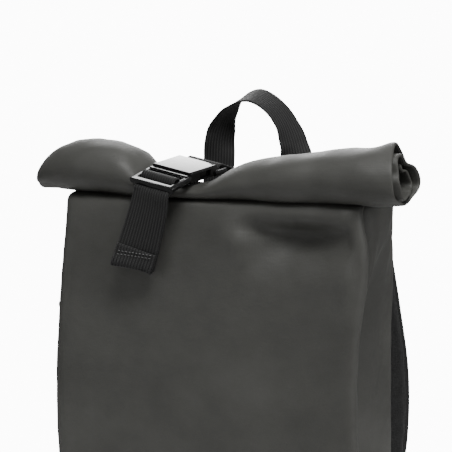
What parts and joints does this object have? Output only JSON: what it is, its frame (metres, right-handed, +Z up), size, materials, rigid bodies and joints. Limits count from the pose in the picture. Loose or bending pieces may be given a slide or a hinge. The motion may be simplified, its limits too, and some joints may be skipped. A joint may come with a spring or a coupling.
{
  "type": "rolltop backpack",
  "caption": "Rolltop backpack of matt coated cloth with a buckled closing strap, webbing carry handle, padded shoulder straps and a side zip.",
  "frame": {"origin": "middle of the base's underside, on the floor", "axes": "+Z up, -Y the front panel with the roll and the buckle, +X to the right of someone who looks at the front"},
  "size_m": [0.3555, 0.2188, 0.4893],
  "materials": {
    "coated_cloth": "matt coated cloth, soft sheen",
    "back_mesh": "padded mesh cloth",
    "back_cloth": "plain woven cloth",
    "strap_padding": "padded woven cloth",
    "black_webbing": "ribbed webbing",
    "buckle_plastic": "smooth moulded plastic",
    "matt_plastic": "moulded plastic",
    "zip_cloth": "woven zip tape",
    "zip_plastic": "moulded coil",
    "black_metal": "black coated metal"
  },
  "bodies": {
    "root": {"main_sack": "coated_cloth", "rolled_collar": "coated_cloth", "back_pad": "back_mesh", "back_yoke": "back_cloth", "carry_handle": "black_webbing", "shoulder_strap_left": "strap_padding", "shoulder_strap_right": "strap_padding", "strap_adjuster_left": "matt_plastic", "strap_adjuster_right": "matt_plastic", "strap_webbing_left": "black_webbing", "strap_webbing_right": "black_webbing", "closure_strap": "black_webbing", "closure_tail": "black_webbing", "buckle_socket": "buckle_plastic", "buckle_plug": "buckle_plastic", "zip_tape": "zip_cloth", "zip_chain": "zip_plastic", "zip_slider": "black_metal", "zip_ring": "black_metal", "zip_pull": "black_metal"}
  },
  "joints": []
}
